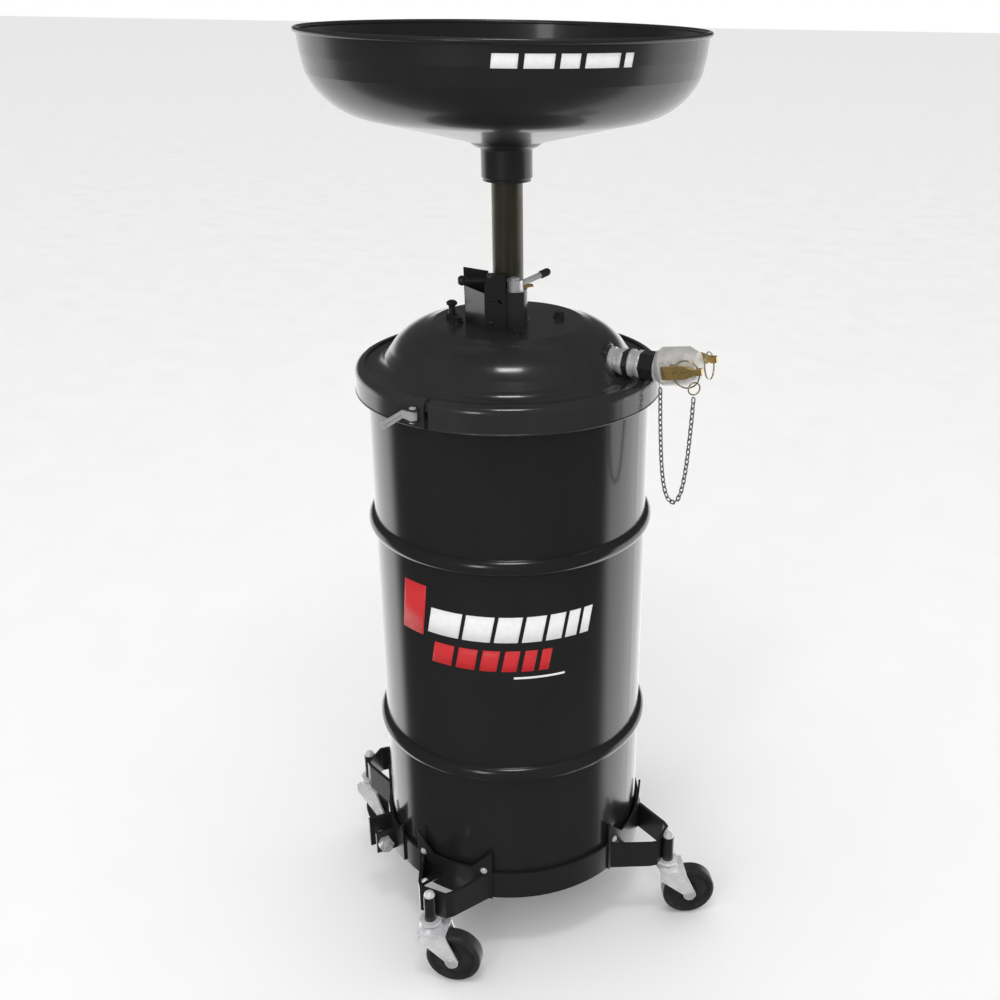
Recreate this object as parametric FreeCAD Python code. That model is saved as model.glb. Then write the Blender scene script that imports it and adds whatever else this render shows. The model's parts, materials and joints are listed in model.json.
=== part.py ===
"""Portable used-oil drain: a bowl on a telescoping mast, a domed lid, a steel drum and a caster dolly.

Millimetres, +Z up. The origin is on the floor, on the axis of the drum and the mast.
+X runs along the discharge line and through one of the four casters.
"""
import FreeCAD, Part
import math
import os

Vector = FreeCAD.Vector
UP = Vector(0, 0, 1)
ORIGIN = Vector(0, 0, 0)

# ---- driving dimensions -----------------------------------------------------------------------
# casters and dolly
WHEEL_R = 38.0
WHEEL_W = 23.0
CASTER_TRAIL = 32.0
CASTER_CIRCLE_R = 247.5
DECK_Z = 95.0
BAND_R = 186.0
BAND_T = 4.0
BAND_H = 41.0
SOCKET_R = 8.0
SOCKET_H = 39.0
STEM_R = 5.5
BRACKET_HALF_ANGLE = 18.0
BRACKET_FACE_HALF_W = 24.0
STRAP_T = 4.0
LUG_ANGLE = 231.6
RUNNING_GAP = 0.05

# drum
DRUM_R = 180.5
DRUM_T = 1.5
DRUM_FOOT_Z = 99.0
DRUM_TOP_Z = 803.0
HOOP_R = 188.8
HOOP_HALF_H = 11.0
HOOP_HEIGHTS = (297.0, 601.0)
BEAD_R = 4.0

# lid
LID_T = 1.5
PLATEAU_Z = 861.0
PLATEAU_R = 95.0
FLANGE_Z = 808.5
LID_R = 190.5
RING_R = 194.7
RING_T = 2.0
RING_FOOT_Z = 777.0
BOLT_CIRCLE_R = 65.0
BOLT_FIRST_ANGLE = 38.4
BOLT_COUNT = 4

# mast and bowl
MAST_R = 19.05
MAST_T = 2.0
MAST_FOOT_Z = 330.0
GUIDE_R = 24.0
GUIDE_TOP_Z = 902.0
BUSHING_R = 21.0
BOWL_T = 1.5
BOWL_FLOOR_Z = 1071.0
BOWL_RIM_R = 238.7
BOWL_RIM_Z = 1201.0
RIM_BEAD_R = 3.0
SOCKET_FOOT_Z = 1033.0

# discharge line, along +X
LINE_Z = 828.0
PIPE_R = 13.35
PIPE_BORE_R = 10.4
POCKET_X = 136.0
POCKET_R = 24.5
POCKET_FLOOR_Z = 811.0
DIP_X = 88.0
DIP_R = 10.65
DIP_BORE_R = 7.9
DIP_FOOT_Z = 114.0

# the mast clamp is turned about the mast from the discharge line
CLAMP_TURN = 27.6
CAM_X = 8.0
CAM_Y = -31.0
CAM_TOP_Z = 919.5
CAM_OPEN = 1.6
CAM_BASE_Z = 905.5
PLUNGER_Y = -26.0
PLUNGER_Z = 917.0

QUARTER_TURNS = {"right": 0.0, "rear": 90.0, "left": 184.0, "front": 270.0}
HEADINGS = {"right": 32.0, "rear": -20.0, "left": -8.0, "front": 14.0}


# ---- helpers ----------------------------------------------------------------------------------
def save(node, shape):
    """Writes one sub-part, after checking that every solid in it is sound."""
    solids = shape.Solids
    assert solids and all(s.isValid() for s in solids), node
    if len(solids) == 1:
        shape = solids[0]
    shape.exportStep(os.path.join("parts", node + ".step"))
    print(f"{node:24s} solids {len(solids):3d}  volume {shape.Volume / 1000:9.2f} cm3")


def disc(radius, low, high, x=0.0, y=0.0):
    """Upright cylinder."""
    return Part.makeCylinder(radius, high - low, Vector(x, y, low), UP)


def tube(outer, inner, low, high, x=0.0, y=0.0):
    """Upright ring between two radii."""
    return disc(outer, low, high, x, y).cut(disc(inner, low - 1, high + 1, x, y))


def rod(radius, start, end):
    """A round bar from one point to another."""
    start, end = Vector(*start), Vector(*end)
    return Part.makeCylinder(radius, (end - start).Length, start, end - start)


def line_ring(outer, inner, x_low, x_high, centre_z=LINE_Z):
    """A round ring on the discharge line."""
    body = rod(outer, (x_low, 0, centre_z), (x_high, 0, centre_z))
    if inner:
        body = body.cut(rod(inner, (x_low - 1, 0, centre_z), (x_high + 1, 0, centre_z)))
    return body


def block(x_low, x_high, y_low, y_high, z_low, z_high):
    """Box between six planes."""
    return Part.makeBox(x_high - x_low, y_high - y_low, z_high - z_low, Vector(x_low, y_low, z_low))


def turned(shape, angle, centre=ORIGIN, axis=UP):
    """Copy turned about an axis."""
    copy = shape.copy()
    copy.rotate(centre, axis, angle)
    return copy


def moved(shape, x=0.0, y=0.0, z=0.0):
    """Copy moved in a straight line."""
    copy = shape.copy()
    copy.translate(Vector(x, y, z))
    return copy


def fused(first, *others):
    """One solid from several, with their shared faces merged."""
    return first.fuse(list(others)).removeSplitter()


def group(shapes):
    """Separate solids that share one node."""
    return Part.makeCompound([s for shape in shapes for s in shape.Solids])


def hexagon(flat, low, high, x=0.0, y=0.0):
    """A hexagonal prism about a vertical axis; flat is the size across the flats."""
    corner = flat / math.sqrt(3)
    points = [Vector(x + corner * math.cos(math.radians(a)), y + corner * math.sin(math.radians(a)), low)
              for a in range(0, 361, 60)]
    return Part.Face(Part.makePolygon(points)).extrude(Vector(0, 0, high - low))


def line_hexagon(flat, x_low, x_high, bore):
    """A hexagonal nut on the discharge line, with a flat on top."""
    prism = turned(turned(hexagon(flat, 0, x_high - x_low), 30), 90, ORIGIN, Vector(0, 1, 0))
    return moved(prism, x_low, 0, LINE_Z).cut(line_ring(bore, 0, x_low - 1, x_high + 1))


def path(steps, plane=lambda a, b: Vector(a, 0, b)):
    """An open wire. A step is an end point, or (middle, end) for an arc."""
    here = plane(*steps[0])
    edges = []
    for step in steps[1:]:
        if isinstance(step[0], tuple):
            end = plane(*step[1])
            edges.append(Part.Arc(here, plane(*step[0]), end).toShape())
        else:
            end = plane(*step)
            edges.append(Part.LineSegment(here, end).toShape())
        here = end
    return Part.Wire(edges)


def lathe(steps):
    """Revolves a closed outline, given as (radius, height) steps, about the Z axis."""
    end = steps[-1][1] if isinstance(steps[-1][0], tuple) else steps[-1]
    outline = path(steps if end == steps[0] else list(steps) + [steps[0]])
    return Part.Face(outline).revolve(ORIGIN, UP, 360)


def sheet_lathe(steps, thickness):
    """Revolves a sheet of even thickness, which lies to the left of the steps along its outer face."""
    skin = path(steps)
    strip = skin.makeOffset2D(thickness, 2, True, True, False)
    solid = strip.revolve(ORIGIN, UP, 360)
    return Part.makeSolid(solid) if not solid.Solids else solid.Solids[0]


def rounded_ring(outer, inner, x_low, x_high, round_r):
    """A ring on the discharge line with rounded outer edges."""
    length = x_high - x_low
    body = lathe([(inner, 0), (outer - round_r, 0),
                  ((outer - 0.29 * round_r, 0.29 * round_r), (outer, round_r)), (outer, length - round_r),
                  ((outer - 0.29 * round_r, length - 0.29 * round_r), (outer - round_r, length)),
                  (inner, length)])
    return moved(turned(body, 90, ORIGIN, Vector(0, 1, 0)), x_low, 0, LINE_Z)


def slab(points, low, high):
    """A vertical prism on a closed plan outline."""
    corners = [Vector(x, y, low) for x, y in points]
    return Part.Face(Part.makePolygon(corners + corners[:1])).extrude(Vector(0, 0, high - low))


def on_circle(radius, angle):
    """Place on a circle round the drum, by its angle from +X."""
    return radius * math.cos(math.radians(angle)), radius * math.sin(math.radians(angle))


# ---- dolly ------------------------------------------------------------------------------------
def dolly_ring():
    """Band around the foot of the drum, with an inner lip that the drum stands on."""
    band = tube(BAND_R, BAND_R - BAND_T, DECK_Z, DECK_Z + BAND_H)
    lip = tube(BAND_R, BAND_R - 20, DECK_Z, DRUM_FOOT_Z)
    return fused(band, lip)


def drum_hugger(half_angle, low, ear_top, notch_bottom, notch_half_angle):
    """A plate rolled around the band, standing up the drum wall and ending in two pointed ears."""
    inner, outer = BAND_R, BAND_R + 3
    plate = tube(outer, inner, low, ear_top)
    reach = outer + 60
    spread = [on_circle(reach, a) for a in (-half_angle, 0, half_angle)]
    plate = plate.common(slab([(0, 0)] + spread, low, ear_top))
    notch_x = outer - 20
    inner_y = reach * math.sin(math.radians(notch_half_angle)) * outer / reach
    outer_y = outer * math.sin(math.radians(half_angle)) - 2
    top = ear_top + 1
    cut = [Vector(notch_x, y, z) for y, z in
           ((-outer_y, top), (-inner_y, notch_bottom), (inner_y, notch_bottom), (outer_y, top),
            (-outer_y, top))]
    return plate.cut(Part.Face(Part.makePolygon(cut)).extrude(Vector(40, 0, 0)))


def caster_bracket():
    """Strap bent out from the band to a flat face that carries the caster socket."""
    low, high = DECK_Z, DECK_Z + BAND_H - 1
    face_x = CASTER_CIRCLE_R - SOCKET_R
    root_x, root_y = on_circle(BAND_R + 1, BRACKET_HALF_ANGLE - 1)
    half = BRACKET_FACE_HALF_W
    thick = STRAP_T
    outer = [(root_x, -root_y), (face_x - 8, -half - 3), (face_x, -half + 4),
             (face_x, half - 4), (face_x - 8, half + 3), (root_x, root_y)]
    inner = [(root_x - 1, root_y - thick * 1.3), (face_x - 9.5, half - 1.5), (face_x - thick, half - 6),
             (face_x - thick, -half + 6), (face_x - 9.5, -half + 1.5), (root_x - 1, -root_y + thick * 1.3)]
    strap = slab(outer + inner, low, high).cut(disc(BAND_R, low - 1, high + 1))
    hugger = drum_hugger(BRACKET_HALF_ANGLE, low, DECK_Z + 76, DECK_Z + 50, 9)
    brace = rod(2.5, (BAND_R + 2, -20, high - 22), (face_x - 12, -half + 1, high - 8))
    return fused(strap, hugger, brace)


def caster_socket():
    """Tube that a caster stem is pressed into."""
    return tube(SOCKET_R, STEM_R, DECK_Z, DECK_Z + SOCKET_H, CASTER_CIRCLE_R)


def bracket_screws():
    """Round-head screws that hold each bracket's ears to the band."""
    screws = []
    for angle in QUARTER_TURNS.values():
        for side in (-14.5, 14.5):
            x, y = on_circle(BAND_R + 3, angle + side)
            out_x, out_y = on_circle(1, angle + side)
            z = DECK_Z + BAND_H + 6
            head = Part.makeSphere(5.5, Vector(x - 2.5 * out_x, y - 2.5 * out_y, z))
            screws.append(head.cut(disc(BAND_R + 3, z - 10, z + 10)))
    return group(screws)


def band_lugs():
    """Rolled plate with ears and a wing, and the wing on the band's other end."""
    low = DECK_Z
    hugger = drum_hugger(9, low, DECK_Z + 62, DECK_Z + 45, 4)
    wing = block(BAND_R + 1, BAND_R + 33, -26, -22, low, DECK_Z + 47)
    far_wing = block(BAND_R + 3, BAND_R + 30, -6, -2, low, DECK_Z + 34)
    far_wing = far_wing.cut(disc(BAND_R + 3, low - 1, low + 50))
    bolt_way = rod(6.05, (BAND_R + 18, -40, low + 16), (BAND_R + 18, 10, low + 16))
    return group([fused(hugger, wing).cut(bolt_way), far_wing.cut(bolt_way)])


def band_bolt():
    """Hexagon bolt and nut that draw the two wings together."""
    x, z = BAND_R + 18, DECK_Z + 16
    head = moved(turned(hexagon(24, 0, 9), 90, ORIGIN, Vector(1, 0, 0)), x, -26, z)
    nut = moved(turned(hexagon(19, 0, 10), 90, ORIGIN, Vector(1, 0, 0)), x, 8, z)
    shank = rod(6, (x, -26, z), (x, 14, z))
    return group([fused(head, shank), nut.cut(rod(6, (x, -20, z), (x, 20, z)))])


def band_screw():
    """Small screw through the upper corner of the wing."""
    x, z = BAND_R + 25, DECK_Z + 40
    return moved(Part.makeSphere(5, Vector(x, -25, z)).common(block(x - 9, x + 9, -35, -26, z - 9, z + 9)))


# ---- casters, drawn for the one on +X ----------------------------------------------------------
RACE_TOP_Z = DECK_Z
FORK_TOP_Z = 82.0
FORK_HALF_W = 17.0
LEG_T = 2.5
AXLE_R = 4.0


def caster_stem():
    """Fixed stem with a round head above the socket and the upper ball race below it."""
    x = CASTER_CIRCLE_R
    pin = disc(STEM_R, FORK_TOP_Z - 4, DECK_Z + SOCKET_H, x)
    dome = Part.makeSphere(SOCKET_R - 0.5, Vector(x, 0, DECK_Z + SOCKET_H)).cut(
        disc(20, DECK_Z, DECK_Z + SOCKET_H, x))
    race = disc(14.5, RACE_TOP_Z - 4.5, RACE_TOP_Z, x).fuse(
        Part.makeCone(10.5, 14.5, 3.5, Vector(x, 0, RACE_TOP_Z - 8), UP))
    return fused(pin, dome, race.cut(tube(60, STEM_R, RACE_TOP_Z, RACE_TOP_Z + 5, x)))


def caster_fork():
    """Pressed fork: the lower ball race, a crown plate and two legs tapering to the axle."""
    x = CASTER_CIRCLE_R
    axle_x = x + CASTER_TRAIL
    race = Part.makeCone(15.5, 11.5, 4, Vector(x, 0, FORK_TOP_Z), UP)
    crown = block(x - 14, x + 24, -FORK_HALF_W, FORK_HALF_W, FORK_TOP_Z - 3, FORK_TOP_Z)
    leg_top = FORK_TOP_Z
    outline = path([(x - 14, leg_top), (x + 24, leg_top), (x + 26, leg_top - 8),
                    (axle_x + 9, WHEEL_R + 1), ((axle_x, WHEEL_R - 9), (axle_x - 9, WHEEL_R + 1)),
                    (x - 14, leg_top - 12), (x - 14, leg_top)],
                   lambda a, b: Vector(a, -FORK_HALF_W, b))
    leg = Part.Face(outline).extrude(Vector(0, LEG_T, 0))
    border = Part.Face(outline).extrude(Vector(0, -0.7, 0)).cut(
        moved(Part.Face(outline.makeOffset2D(-2.6)).extrude(Vector(0, -2, 0)), 0, 0.5, 0))
    near_leg = fused(leg, border.cut(rod(7.5, (axle_x, -30, WHEEL_R), (axle_x, 30, WHEEL_R))))
    far_leg = near_leg.mirror(ORIGIN, Vector(0, 1, 0))
    body = fused(crown, near_leg, far_leg, race)
    body = body.cut(disc(STEM_R + RUNNING_GAP, FORK_TOP_Z - 9, FORK_TOP_Z + 9, x))
    return body.cut(rod(AXLE_R, (axle_x, -30, WHEEL_R), (axle_x, 30, WHEEL_R)))


def caster_axle():
    """Axle bolt with its head on one leg and a nut on the other."""
    x = CASTER_CIRCLE_R + CASTER_TRAIL
    shank = rod(AXLE_R, (x, -FORK_HALF_W, WHEEL_R), (x, FORK_HALF_W, WHEEL_R))
    head = moved(turned(hexagon(12, 0, 4), 90, ORIGIN, Vector(1, 0, 0)), x, -FORK_HALF_W, WHEEL_R)
    nut = moved(turned(hexagon(12, 0, 5), 90, ORIGIN, Vector(1, 0, 0)), x, FORK_HALF_W + 5, WHEEL_R)
    return fused(shank, head, nut)


def caster_wheel():
    """Hard tread on a hub with a running bore; the sides are dished between tread and hub."""
    half = WHEEL_W / 2
    bore = AXLE_R + RUNNING_GAP
    wheel = lathe([(bore, -half - 2), (9, -half - 2), (11, -half + 4), (28, -half + 4), (31, -half),
                   ((WHEEL_R - 1.4, -half + 1.4), (WHEEL_R, -half + 5)), (WHEEL_R, half - 5),
                   ((WHEEL_R - 1.4, half - 1.4), (31, half)), (28, half - 4), (11, half - 4),
                   (9, half + 2), (bore, half + 2)])
    upright = turned(wheel, 90, ORIGIN, Vector(1, 0, 0))
    return moved(upright, CASTER_CIRCLE_R + CASTER_TRAIL, 0, WHEEL_R)


def at_caster(shape, place):
    """Moves a part drawn for a caster on +X, trailing along +X, to its place and heading."""
    x, y = on_circle(CASTER_CIRCLE_R, QUARTER_TURNS[place])
    return moved(turned(shape, HEADINGS[place], Vector(CASTER_CIRCLE_R, 0, 0)), x - CASTER_CIRCLE_R, y)


# ---- drum -------------------------------------------------------------------------------------
def drum_shell():
    """Rolled drum wall with two hoops and a beaded rim."""
    outer = [(DRUM_R, DRUM_FOOT_Z)]
    inner = [(DRUM_R - DRUM_T, DRUM_TOP_Z - BEAD_R)]
    for z in HOOP_HEIGHTS:
        outer += [(DRUM_R, z - HOOP_HALF_H), ((HOOP_R, z), (DRUM_R, z + HOOP_HALF_H))]
    outer += [(DRUM_R, DRUM_TOP_Z - BEAD_R)]
    for z in reversed(HOOP_HEIGHTS):
        r = DRUM_R - DRUM_T
        inner += [(r, z + HOOP_HALF_H), ((HOOP_R - DRUM_T, z), (r, z - HOOP_HALF_H))]
    inner += [(DRUM_R - DRUM_T, DRUM_FOOT_Z)]
    wall = lathe(outer + inner)
    bead = Part.makeTorus(DRUM_R + 1.5, BEAD_R, Vector(0, 0, DRUM_TOP_Z - BEAD_R), UP)
    return fused(wall, bead)


def drum_bottom():
    """Dished end plate, seamed inside the foot of the wall."""
    r = DRUM_R - DRUM_T
    z = DRUM_FOOT_Z + 9
    return fused(disc(r, z, z + DRUM_T), tube(r, r - DRUM_T, DRUM_FOOT_Z, z))


# ---- lid --------------------------------------------------------------------------------------
LID_SKIN = [(LID_R, 797.0), (LID_R, 805.0), ((LID_R - 1.0, 807.5), (LID_R - 3.5, FLANGE_Z)),
            (172.0, FLANGE_Z), ((163.5, 810.5), (156.5, 818.0)), (149.0, 827.5),
            ((131.0, 847.0), (105.0, 858.0)), (PLATEAU_R, PLATEAU_Z), (BUSHING_R, PLATEAU_Z)]


def lid_solid():
    """Everything under the lid's outer face, as one plug."""
    return lathe(LID_SKIN + [(BUSHING_R, 797.0)])


def clamp_bolt_places():
    """The four places of the bolts through the plateau."""
    return [on_circle(BOLT_CIRCLE_R, BOLT_FIRST_ANGLE + 360.0 * i / BOLT_COUNT) for i in range(BOLT_COUNT)]


VENT_X, VENT_Y = on_circle(72.0, 199.3)


def pocket(extra):
    """The room cut into the dome for the discharge line, grown by extra for the wall around it."""
    room = rod(POCKET_R + extra, (POCKET_X - extra, 0, LINE_Z), (210, 0, LINE_Z))
    return room.common(block(100, 210, -60, 60, POCKET_FLOOR_Z - extra, 900))


def drum_lid():
    """Pressed lid: plateau, dome, flat flange and skirt, with a pocket and a welded boss for the line."""
    lid = sheet_lathe(LID_SKIN, LID_T)
    lid = lid.cut(disc(GUIDE_R, PLATEAU_Z - 10, PLATEAU_Z + 10))
    for x, y in clamp_bolt_places():
        lid = lid.cut(disc(4.2, PLATEAU_Z - 10, PLATEAU_Z + 10, x, y))
    lid = lid.cut(disc(5.0, PLATEAU_Z - 10, PLATEAU_Z + 10, VENT_X, VENT_Y))
    lid = lid.cut(pocket(LID_T))
    liner = pocket(LID_T).cut(pocket(0)).common(lid_solid())
    boss = rounded_ring(18.5, PIPE_R, POCKET_X - 1, POCKET_X + 4.5, 2.0)
    lid = fused(lid, max(liner.Solids, key=lambda s: s.Volume), boss)
    return lid.cut(line_ring(PIPE_R, 0, 100, 200))


def lid_gasket():
    """Flat ring between the lid and the drum rim."""
    return tube(DRUM_R + 5, DRUM_R - 2, DRUM_TOP_Z, FLANGE_Z - LID_T)


LATCH_ANGLE = -96.0


def latch_bracket():
    """Two ears welded to the ring, drawn on +X and turned to the latch's place."""
    ears = [block(RING_R, RING_R + 10, -6, 6, z, z + 2.5) for z in (786.0, 799.5)]
    pad = block(RING_R - 0.5, RING_R + 0.6, -8, 8, 784, 804)
    shape = fused(pad, *ears).cut(disc(RING_R, 770, 810))
    return turned(shape.cut(disc(2.5, 770, 810, RING_R + 6)), LATCH_ANGLE)


def closing_ring():
    """Split clamping ring over the lid's edge; its two ends meet at the latch."""
    foot = RING_R - RING_T
    ring = lathe([(RING_R, RING_FOOT_Z), (RING_R, 800.0), ((192.6, 807.6), (185.0, 811.0)),
                  (182.0, 811.0), (182.0, FLANGE_Z + 0.1), (187.5, FLANGE_Z + 0.1),
                  ((190.8, 806.4), (foot, 800.0)), (foot, RING_FOOT_Z)])
    ring = ring.cut(disc(LID_R, 790, FLANGE_Z + 0.1))
    gap = turned(block(170, 210, -3, 3, RING_FOOT_Z - 1, 820), LATCH_ANGLE + 4)
    bead = Part.makeTorus(RING_R - 0.6, 1.4, Vector(0, 0, RING_FOOT_Z + 1.4), UP)
    return fused(ring, bead).cut(gap).fuse(latch_bracket())


def latch_pin():
    """Pin that the latch lever turns on."""
    pin = disc(2.5, 785, 803, RING_R + 6)
    heads = [disc(4, z, z + 1.2, RING_R + 6) for z in (784.8, 802.0)]
    return turned(fused(pin, *heads), LATCH_ANGLE)


def latch_lever():
    """Pressed lever: an eye on the pin, and an arm that droops along the ring."""
    x = RING_R + 6
    eye = tube(5.2, 2.5 + RUNNING_GAP, 788.55, 799.45, x)
    steps = [(-2.0, 799.0), (-14.0, 798.0), (-50.0, 775.0), ((-54.5, 768.0), (-46.0, 766.5)),
             (-13.0, 788.8), (-2.0, 788.8), (-2.0, 799.0)]
    arm = Part.Face(path(steps, lambda a, b: Vector(x + 2.4, a, b))).extrude(Vector(2.6, 0, 0))
    rib = Part.Face(path([(-16.0, 794.6), (-49.0, 772.8), (-47.5, 770.6), (-14.5, 792.4), (-16.0, 794.6)],
                         lambda a, b: Vector(x + 4.8, a, b))).extrude(Vector(2.0, 0, 0))
    arm = turned(arm.cut(disc(2.6, 780, 805, x)).fuse(rib), -12, Vector(x, 0, 0))
    return turned(fused(eye, arm), LATCH_ANGLE)


# ---- mast guide and clamp ---------------------------------------------------------------------
def mast_guide():
    """Sleeve on an inner flange, with a column in front that carries the cam."""
    sleeve = tube(GUIDE_R, BUSHING_R, 832, GUIDE_TOP_Z)
    top = PLATEAU_Z - LID_T
    flange = tube(88, BUSHING_R, top - 4, top)
    for x, y in clamp_bolt_places():
        flange = flange.cut(disc(4.2, top - 10, top + 10, x, y))
    flange = flange.cut(disc(5.0, top - 10, top + 10, VENT_X, VENT_Y))
    column = block(CAM_X - 11, CAM_X + 11, CAM_Y - 11, -15, PLATEAU_Z, CAM_BASE_Z)
    column = column.cut(disc(GUIDE_R, PLATEAU_Z - 5, CAM_BASE_Z + 5))
    column = column.cut(disc(3.0, CAM_BASE_Z - 20, CAM_BASE_Z + 5, CAM_X, CAM_Y))
    corner = fused(sleeve, flange)
    return corner.fuse(turned(column, CLAMP_TURN)).removeSplitter()


def mast_bushing():
    """Plastic liner that the mast runs in, with a lip on top of the sleeve."""
    liner = tube(BUSHING_R, MAST_R + RUNNING_GAP, 832, GUIDE_TOP_Z)
    lip = tube(GUIDE_R - 1, MAST_R + RUNNING_GAP, GUIDE_TOP_Z, GUIDE_TOP_Z + 2.5)
    return fused(liner, lip)


def guide_bolts():
    """Hexagon bolts with washers, through the plateau and the flange below it."""
    bolts = []
    for x, y in clamp_bolt_places():
        shank = disc(4.0, PLATEAU_Z - 20, PLATEAU_Z + 1, x, y)
        washer = disc(7.5, PLATEAU_Z, PLATEAU_Z + 1.6, x, y)
        head = hexagon(12, PLATEAU_Z + 1.6, PLATEAU_Z + 7, x, y)
        bolts.append(fused(shank, washer, head))
    return group(bolts)


def guide_nuts():
    """Nuts under the guide flange."""
    top = PLATEAU_Z - LID_T - 4
    return group([hexagon(13, top - 6.5, top, x, y).cut(disc(4.0, top - 9, top + 2, x, y))
                  for x, y in clamp_bolt_places()])


def guard_bracket():
    """Folded sheet around the front left of the sleeve, with the housing of the lock plunger."""
    low = PLATEAU_Z
    back = Part.Face(path([(-54, low), (-55, 929), (-24.2, 924), (-24.2, low), (-54, low)],
                          lambda a, b: Vector(a, -6, b))).extrude(Vector(0, 2, 0))
    side = slab([(-54, -6), (-54, -4), (-52.6, -4), (-27.4, -46), (-29.0, -46.6)], low, 906)
    front = Part.Face(path([(-29, low), (-29, 913), ((-24.7, 924.2), (-14, 929)), (-3, 929), (-3, low),
                            (-29, low)], lambda a, b: Vector(a, -48, b))).extrude(Vector(0, 2, 0))
    slot = turned(block(-13.5, -7.0, -50, -40, 894.3, 896.7), 50, Vector(-10.2, 0, 895.5), Vector(0, 1, 0))
    return_flange = block(-5.5, -3.5, -46.2, -42, low, 906)
    seat = slab([(-52, -6), (-28, -6), (-28, -45), (-30, -44)], low, low + 2)
    housing = block(-26, -8, -46.2, -21.5, 908.5, 925.5)
    body = fused(back, side, front.cut(slot), return_flange, seat, housing)
    bore = rod(3.5 + RUNNING_GAP, (-60, PLUNGER_Y, PLUNGER_Z), (0, PLUNGER_Y, PLUNGER_Z))
    return turned(body.cut(bore), CLAMP_TURN)


def guard_rivets():
    """Two round rivets in the folded sheet."""
    front = Part.makeSphere(3.2, Vector(-21, -47, 899)).common(block(-30, -10, -60, -48, 880, 910))
    low = Part.makeSphere(3.2, Vector(-21, -47, 870)).common(block(-30, -10, -60, -48, 860, 880))
    return turned(group([front, low]), CLAMP_TURN)


def lock_plunger():
    """Spring plunger that locks the mast."""
    rod_body = rod(3.5, (-52, PLUNGER_Y, PLUNGER_Z), (-5, PLUNGER_Y, PLUNGER_Z))
    nose = Part.makeCone(3.5, 2.2, 2, Vector(-5, PLUNGER_Y, PLUNGER_Z), Vector(1, 0, 0))
    return turned(fused(rod_body, nose), CLAMP_TURN)


def plunger_knob():
    """Ball knob with a collar, bored for the plunger."""
    knob = lathe([(0, -61.0), (3.6, -61.0), ((6.2, -56.0), (4.8, -52.2)), (4.6, -52.0), (4.6, -49.0),
                  (3.5, -49.0), (3.5, -52.0), (0, -52.0)])
    knob = moved(turned(knob, 90, ORIGIN, Vector(0, 1, 0)), 0, PLUNGER_Y, PLUNGER_Z)
    return turned(knob, CLAMP_TURN)


def cam_pivot():
    """Flanged shoulder bolt that the cam lever turns on."""
    shank = disc(3.0, CAM_BASE_Z - 18, CAM_TOP_Z + 0.05, CAM_X, CAM_Y)
    flange = disc(10.5, CAM_BASE_Z, CAM_BASE_Z + 2.0, CAM_X, CAM_Y).cut(disc(GUIDE_R, 890, 930))
    head = disc(5.5, CAM_TOP_Z + 0.05, CAM_TOP_Z + 2.2, CAM_X, CAM_Y)
    return turned(fused(shank, flange, head), CLAMP_TURN)


ARM_ROOT = (CAM_X + 6, CAM_Y + 3, 913.0)
ARM_END = (44.0, -11.5, 922.5)


def cam_arm():
    """Round bar of the lever, before it is turned to the clamp's place."""
    return rod(3.6, ARM_ROOT, ARM_END)


def cam_lever():
    """Cam hub, its lobe against the mast, and the rising arm."""
    low, high = CAM_BASE_Z + 2.05, CAM_TOP_Z
    hub = disc(10, low, high, CAM_X, CAM_Y)
    reach = math.hypot(CAM_X, CAM_Y) - MAST_R - CAM_OPEN
    towards = math.degrees(math.atan2(-CAM_Y, -CAM_X))
    lobe_x, lobe_y = on_circle(reach - 8, towards)
    lobe = disc(8, low, high, CAM_X + lobe_x, CAM_Y + lobe_y)
    body = fused(hub, lobe, cam_arm())
    return turned(body.cut(disc(3.0 + RUNNING_GAP, low - 5, high + 5, CAM_X, CAM_Y)), CLAMP_TURN)


def lever_grip():
    """Moulded tip on the end of the arm."""
    axis = Vector(*ARM_END) - Vector(*ARM_ROOT)
    axis.normalize()
    start = Vector(*ARM_END) - axis * 5.0
    end = Vector(*ARM_END) + axis * 4.5
    grip = fused(rod(4.8, start, end), Part.makeSphere(4.8, end))
    return turned(grip.cut(cam_arm()), CLAMP_TURN)


def cam_shoe():
    """Brass wear shoe riveted under the arm."""
    shoe = slab([(17, -30.5), (31, -22.5), (28.5, -16.0), (15, -23.5)], 908.5, 911.0)
    shoe = shoe.cut(cam_arm()).cut(disc(10, 900, 925, CAM_X, CAM_Y))
    return turned(max(shoe.Solids, key=lambda s: s.Volume), CLAMP_TURN)


# ---- mast and bowl ----------------------------------------------------------------------------
def mast_tube():
    """Hollow mast that drains the bowl, with a rolled stop bead near its foot."""
    pipe = tube(MAST_R, MAST_R - MAST_T, MAST_FOOT_Z, BOWL_FLOOR_Z + BOWL_T)
    return fused(pipe, tube(MAST_R + 1.3, MAST_R - 1, MAST_FOOT_Z + 4, MAST_FOOT_Z + 9))


def bowl_socket():
    """Cast collar between the mast and the bowl."""
    body = lathe([(MAST_R, SOCKET_FOOT_Z), (29.3, SOCKET_FOOT_Z), (29.3, SOCKET_FOOT_Z + 3),
                  ((30.3, SOCKET_FOOT_Z + 3.5), (31.0, SOCKET_FOOT_Z + 5)), (31.0, BOWL_FLOOR_Z),
                  (MAST_R, BOWL_FLOOR_Z)])
    return body


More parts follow.
